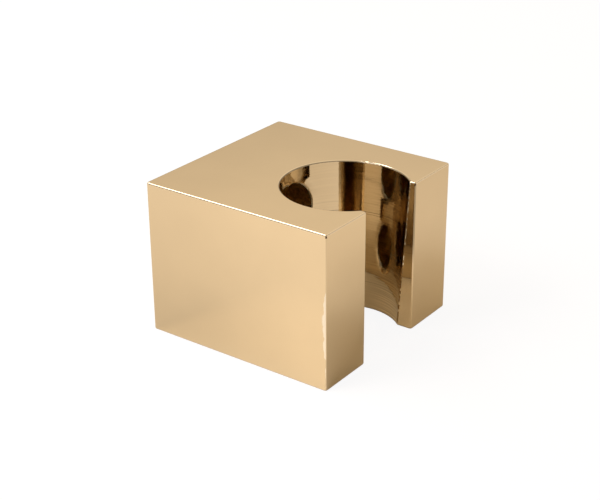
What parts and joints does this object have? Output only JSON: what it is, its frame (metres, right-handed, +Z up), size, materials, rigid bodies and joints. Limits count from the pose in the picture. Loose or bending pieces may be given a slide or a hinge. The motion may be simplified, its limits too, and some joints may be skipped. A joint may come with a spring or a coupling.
{
  "type": "hand shower holder",
  "caption": "Block-shaped wall holder for a hand shower, with a tapered socket open to the front through a hose slot, and counterbored screw holes in its back wall.",
  "frame": {"origin": "on the wall face, midway between the two screw holes", "axes": "+Y into the wall, -Y towards the hose slot, +Z up along the socket, X across the width"},
  "size_m": [0.04, 0.04, 0.03],
  "materials": {
    "gold_brass": "mirror-polished gold plating"
  },
  "bodies": {
    "root": {"body": "gold_brass"}
  },
  "joints": []
}
